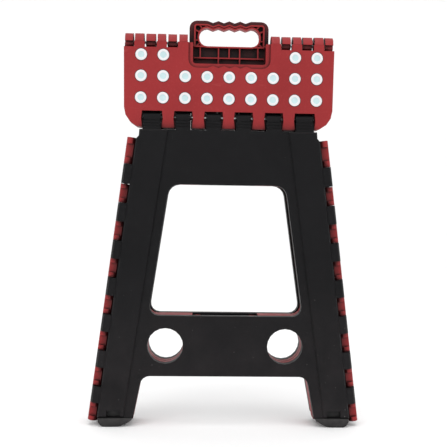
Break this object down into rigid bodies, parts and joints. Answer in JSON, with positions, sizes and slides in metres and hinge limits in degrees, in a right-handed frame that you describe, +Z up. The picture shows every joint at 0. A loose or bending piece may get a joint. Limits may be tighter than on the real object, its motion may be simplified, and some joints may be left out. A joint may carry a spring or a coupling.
{
  "type": "folding step stool",
  "caption": "Tall plastic folding step stool, folded flat, with a carry handle, grip dots and bi-fold side panels.",
  "frame": {"origin": "centre of the folded stool on the floor, under its feet", "axes": "+Z up, +X across the stool, -Y towards the front leg"},
  "size_m": [0.3926, 0.049, 0.5873],
  "materials": {
    "red_plastic": "satin, fine moulded grain",
    "black_plastic": "matte, fine moulded grain, dusty",
    "white_grip": "smooth soft grip",
    "foot_rubber": "matte",
    "pin_steel": "drawn wire"
  },
  "bodies": {
    "front_leg": {"front_leg": "black_plastic", "front_left_foot": "foot_rubber", "front_right_foot": "foot_rubber", "front_leg_pin": "pin_steel", "front_left_side_pin": "pin_steel", "front_right_side_pin": "pin_steel"},
    "rear_leg": {"rear_leg": "black_plastic", "rear_left_foot": "foot_rubber", "rear_right_foot": "foot_rubber", "rear_leg_pin": "pin_steel", "rear_left_side_pin": "pin_steel", "rear_right_side_pin": "pin_steel"},
    "front_deck": {"front_deck": "red_plastic", "front_grip_dots": "white_grip"},
    "rear_deck": {"rear_deck": "red_plastic", "rear_grip_dots": "white_grip", "deck_pin_left": "pin_steel", "deck_pin_right": "pin_steel"},
    "front_left_side": {"front_left_side_panel": "red_plastic", "left_centre_pin_upper": "pin_steel", "left_centre_pin_lower": "pin_steel"},
    "front_right_side": {"front_right_side_panel": "red_plastic", "right_centre_pin_upper": "pin_steel", "right_centre_pin_lower": "pin_steel"},
    "rear_left_side": {"rear_left_side_panel": "red_plastic"},
    "rear_right_side": {"rear_right_side_panel": "red_plastic"}
  },
  "joints": [
    {"name": "front_deck_fold", "type": "hinge", "parent": "front_leg", "child": "front_deck", "pos_m": [0, -0.0075, 0.4444], "axis": [-1, 0, 0], "range_deg": [0, 85.3]},
    {"name": "front_left_side_hinge", "type": "hinge", "parent": "front_leg", "child": "front_left_side", "pos_m": [-0.1908, -0.01024, 0], "axis": [0.127, 0.0061, 0.9919], "range_deg": [0, 90.68]},
    {"name": "left_centre_hinge", "type": "hinge", "parent": "front_left_side", "child": "rear_left_side", "pos_m": [-0.04453, 0, 0], "axis": [-0.0398, 0, -0.9992], "range_deg": [0, 180.05]},
    {"name": "rear_left_side_hinge", "type": "hinge", "parent": "rear_left_side", "child": "rear_leg", "pos_m": [-0.1908, 0.01024, 0], "axis": [0.127, -0.0061, 0.9919], "range_deg": [0, 90.68]},
    {"name": "rear_deck_fold", "type": "hinge", "parent": "rear_leg", "child": "rear_deck", "pos_m": [0, 0.0075, 0.4444], "axis": [1, 0, 0], "range_deg": [0, 85.35]},
    {"name": "front_right_side_hinge", "type": "hinge", "parent": "front_leg", "child": "front_right_side", "pos_m": [0.1908, -0.01024, 0], "axis": [0.127, -0.0061, -0.9919], "range_deg": [0, 90.68]},
    {"name": "rear_right_side_hinge", "type": "hinge", "parent": "rear_leg", "child": "rear_right_side", "pos_m": [0.1908, 0.01024, 0], "axis": [-0.127, -0.0061, 0.9919], "range_deg": [0, 90.68]}
  ],
  "couplings": [
    {"joint": "front_left_side_hinge", "follows": "front_deck_fold", "ratio": 1.0625},
    {"joint": "left_centre_hinge", "follows": "front_deck_fold", "ratio": 2.1102},
    {"joint": "rear_left_side_hinge", "follows": "front_deck_fold", "ratio": 1.0625},
    {"joint": "rear_deck_fold", "follows": "front_deck_fold", "ratio": 1},
    {"joint": "front_right_side_hinge", "follows": "front_deck_fold", "ratio": 1.0625},
    {"joint": "rear_right_side_hinge", "follows": "front_deck_fold", "ratio": 1.0625}
  ]
}
